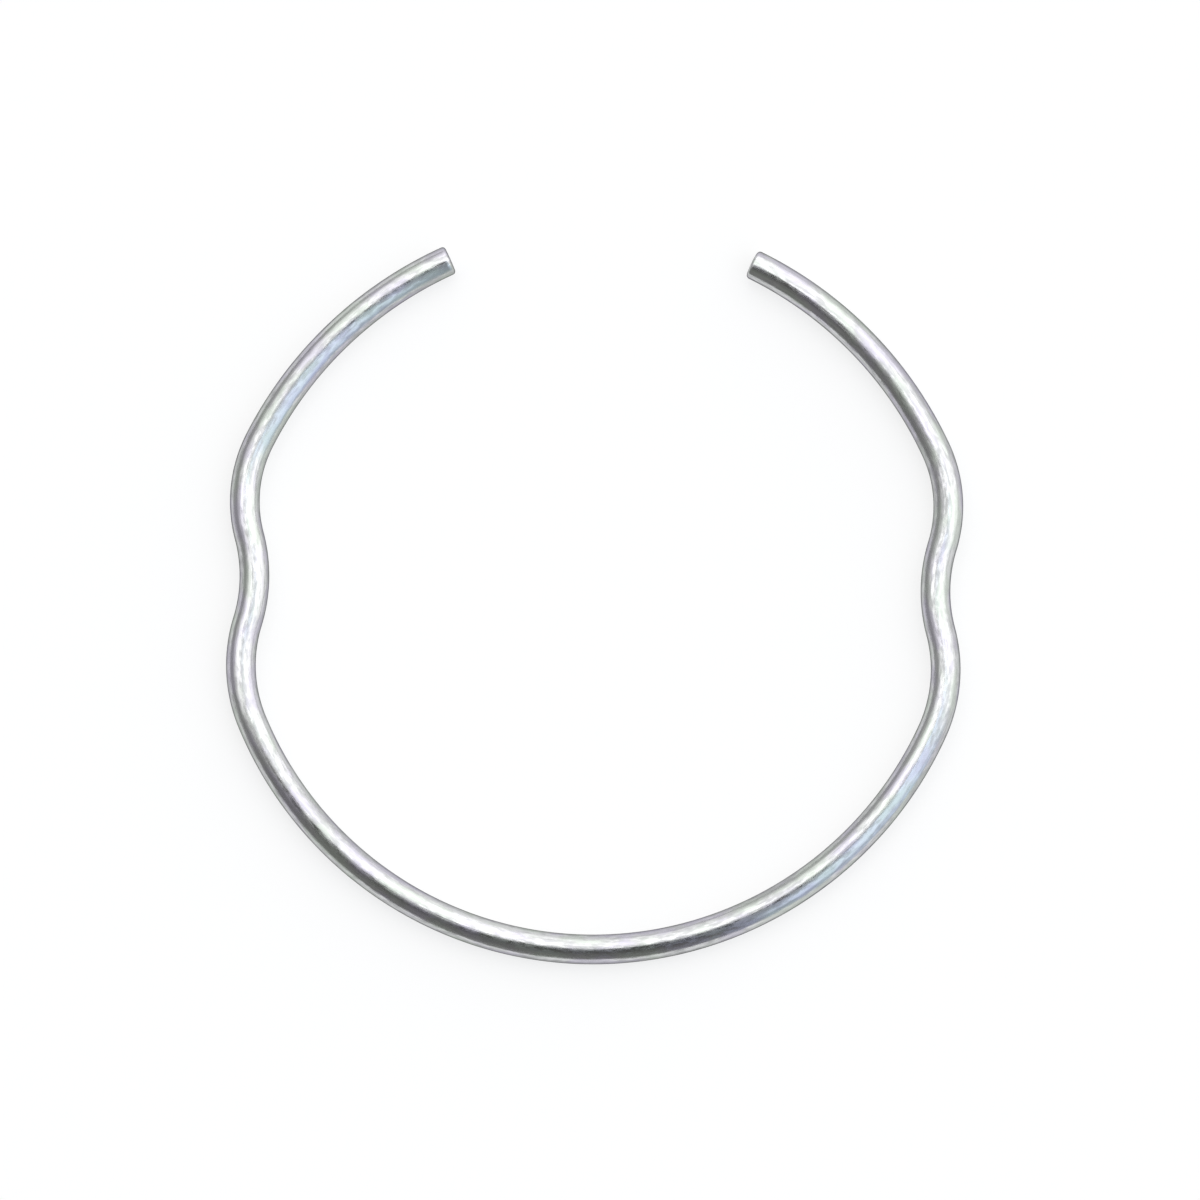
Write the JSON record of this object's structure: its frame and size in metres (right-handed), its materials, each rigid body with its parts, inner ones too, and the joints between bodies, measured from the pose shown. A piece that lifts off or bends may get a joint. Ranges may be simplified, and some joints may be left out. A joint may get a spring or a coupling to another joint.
{
  "type": "wire retaining ring",
  "caption": "Open ring of round spring wire with an inward kink on each side, sprung into a groove to hold a round part in place.",
  "frame": {"origin": "centre of the long seating arc, in the plane of the wire's centre line", "axes": "+Z along the ring's axis, out of its plane; +Y towards the gap between the cut ends; +X towards the kink on the right"},
  "size_m": [0.0544, 0.0531, 0.0022],
  "materials": {
    "zinc_plated_wire": "bright zinc plating on drawn spring wire, with fine draw lines along the wire"
  },
  "bodies": {
    "root": {"retaining_ring": "zinc_plated_wire"}
  },
  "joints": []
}
